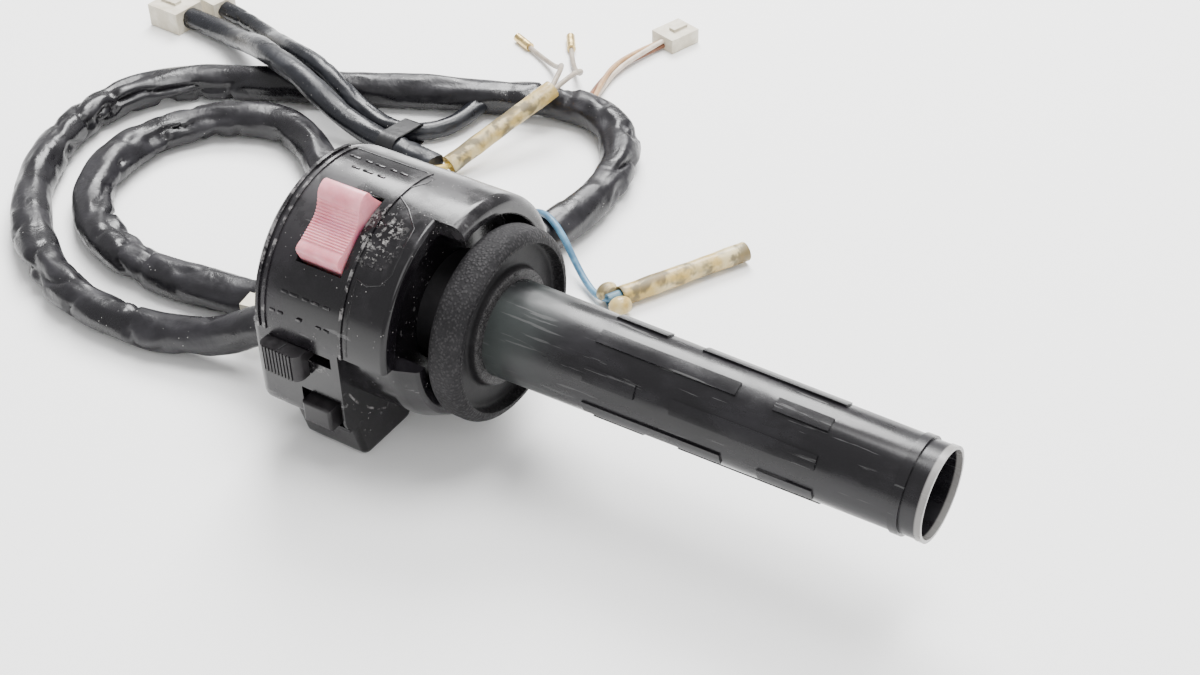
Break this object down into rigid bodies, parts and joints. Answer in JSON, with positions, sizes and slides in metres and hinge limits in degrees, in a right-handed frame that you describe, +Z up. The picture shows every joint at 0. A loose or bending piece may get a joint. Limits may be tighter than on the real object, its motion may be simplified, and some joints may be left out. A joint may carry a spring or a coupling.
{
  "type": "throttle grip",
  "caption": "Right-hand motorcycle throttle tube with flange ring and a clamshell switch housing with stop rocker, light slider, start button and wiring.",
  "frame": {"origin": "under the middle of the part without its wiring, on the surface that the starter block and the wiring lie on", "axes": "+X along the handlebar, out of the grip's open end; -Y to the rider, where the switches are; +Z up"},
  "size_m": [0.3742, 0.2568, 0.0781],
  "materials": {
    "case_paint": "satin black paint over die-cast aluminium, chipped at edges",
    "tube_nylon": "semi-gloss black moulded plastic, faded grey near the ring",
    "ring_rubber": "pebbled charcoal rubber",
    "rocker_plastic": "faded red moulded plastic",
    "slider_plastic": "dark grey moulded plastic",
    "button_plastic": "black moulded plastic",
    "board": "phenolic board",
    "brass": "bright",
    "steel": "plated",
    "screw_steel": "zinc plated",
    "grommet_rubber": "matt",
    "vinyl_sleeve": "soft satin vinyl sleeving",
    "yellow_insulation": "wire insulation",
    "blue_insulation": "wire insulation",
    "grey_insulation": "wire insulation",
    "brown_insulation": "wire insulation",
    "clear_vinyl": "yellowed clear vinyl sleeve",
    "blue_boot": "wire boot",
    "connector_nylon": "aged white nylon",
    "tape": "black harness tape"
  },
  "bodies": {
    "housing": {"upper_case": "case_paint", "lower_case": "case_paint", "rocker_pin": "steel", "kill_board": "board", "kill_terminals": "brass", "light_board": "board", "light_terminals": "brass", "start_board": "board", "start_terminals": "brass", "start_spring": "steel", "case_screws": "screw_steel", "switch_screws": "screw_steel", "loom_grommet": "grommet_rubber", "main_loom": "vinyl_sleeve", "side_sleeve": "vinyl_sleeve", "thin_sleeve": "vinyl_sleeve", "yellow_wire": "yellow_insulation", "blue_wire": "blue_insulation", "grey_wire_left": "grey_insulation", "grey_wire_right": "grey_insulation", "brown_wires": "brown_insulation", "connector_sleeve_a": "clear_vinyl", "connector_sleeve_b": "clear_vinyl", "blue_boot": "blue_boot", "loom_connector": "connector_nylon", "side_connector": "connector_nylon", "thin_connector": "connector_nylon", "brown_connector": "connector_nylon", "grey_bullets": "brass", "harness_tape": "tape"},
    "throttle": {"throttle_tube": "tube_nylon", "flange_ring": "ring_rubber"},
    "stop_rocker": {"kill_rocker": "rocker_plastic", "kill_contact": "brass"},
    "light_knob": {"light_slider": "slider_plastic", "light_contact": "brass"},
    "start_knob": {"start_button": "button_plastic", "start_contact": "brass"}
  },
  "joints": [
    {"name": "throttle_twist", "type": "hinge", "parent": "housing", "child": "throttle", "pos_m": [-0.0268, 0.00225, 0.04], "axis": [1, 0, 0], "range_deg": [0, 75]},
    {"name": "stop_rocker_tilt", "type": "hinge", "parent": "housing", "child": "stop_rocker", "pos_m": [-0.0686, -0.01212, 0.06345], "axis": [1, 0, 0], "range_deg": [-16, 0]},
    {"name": "light_slide", "type": "slide", "parent": "housing", "child": "light_knob", "axis": [1, 0, 0], "range_m": [0, 0.0071]},
    {"name": "start_press", "type": "slide", "parent": "housing", "child": "start_knob", "axis": [0, 1, 0], "range_m": [0, 0.0026], "stiffness_N_per_m": 400, "springref_m": -0.002, "deforming": ["start_spring"]}
  ]
}
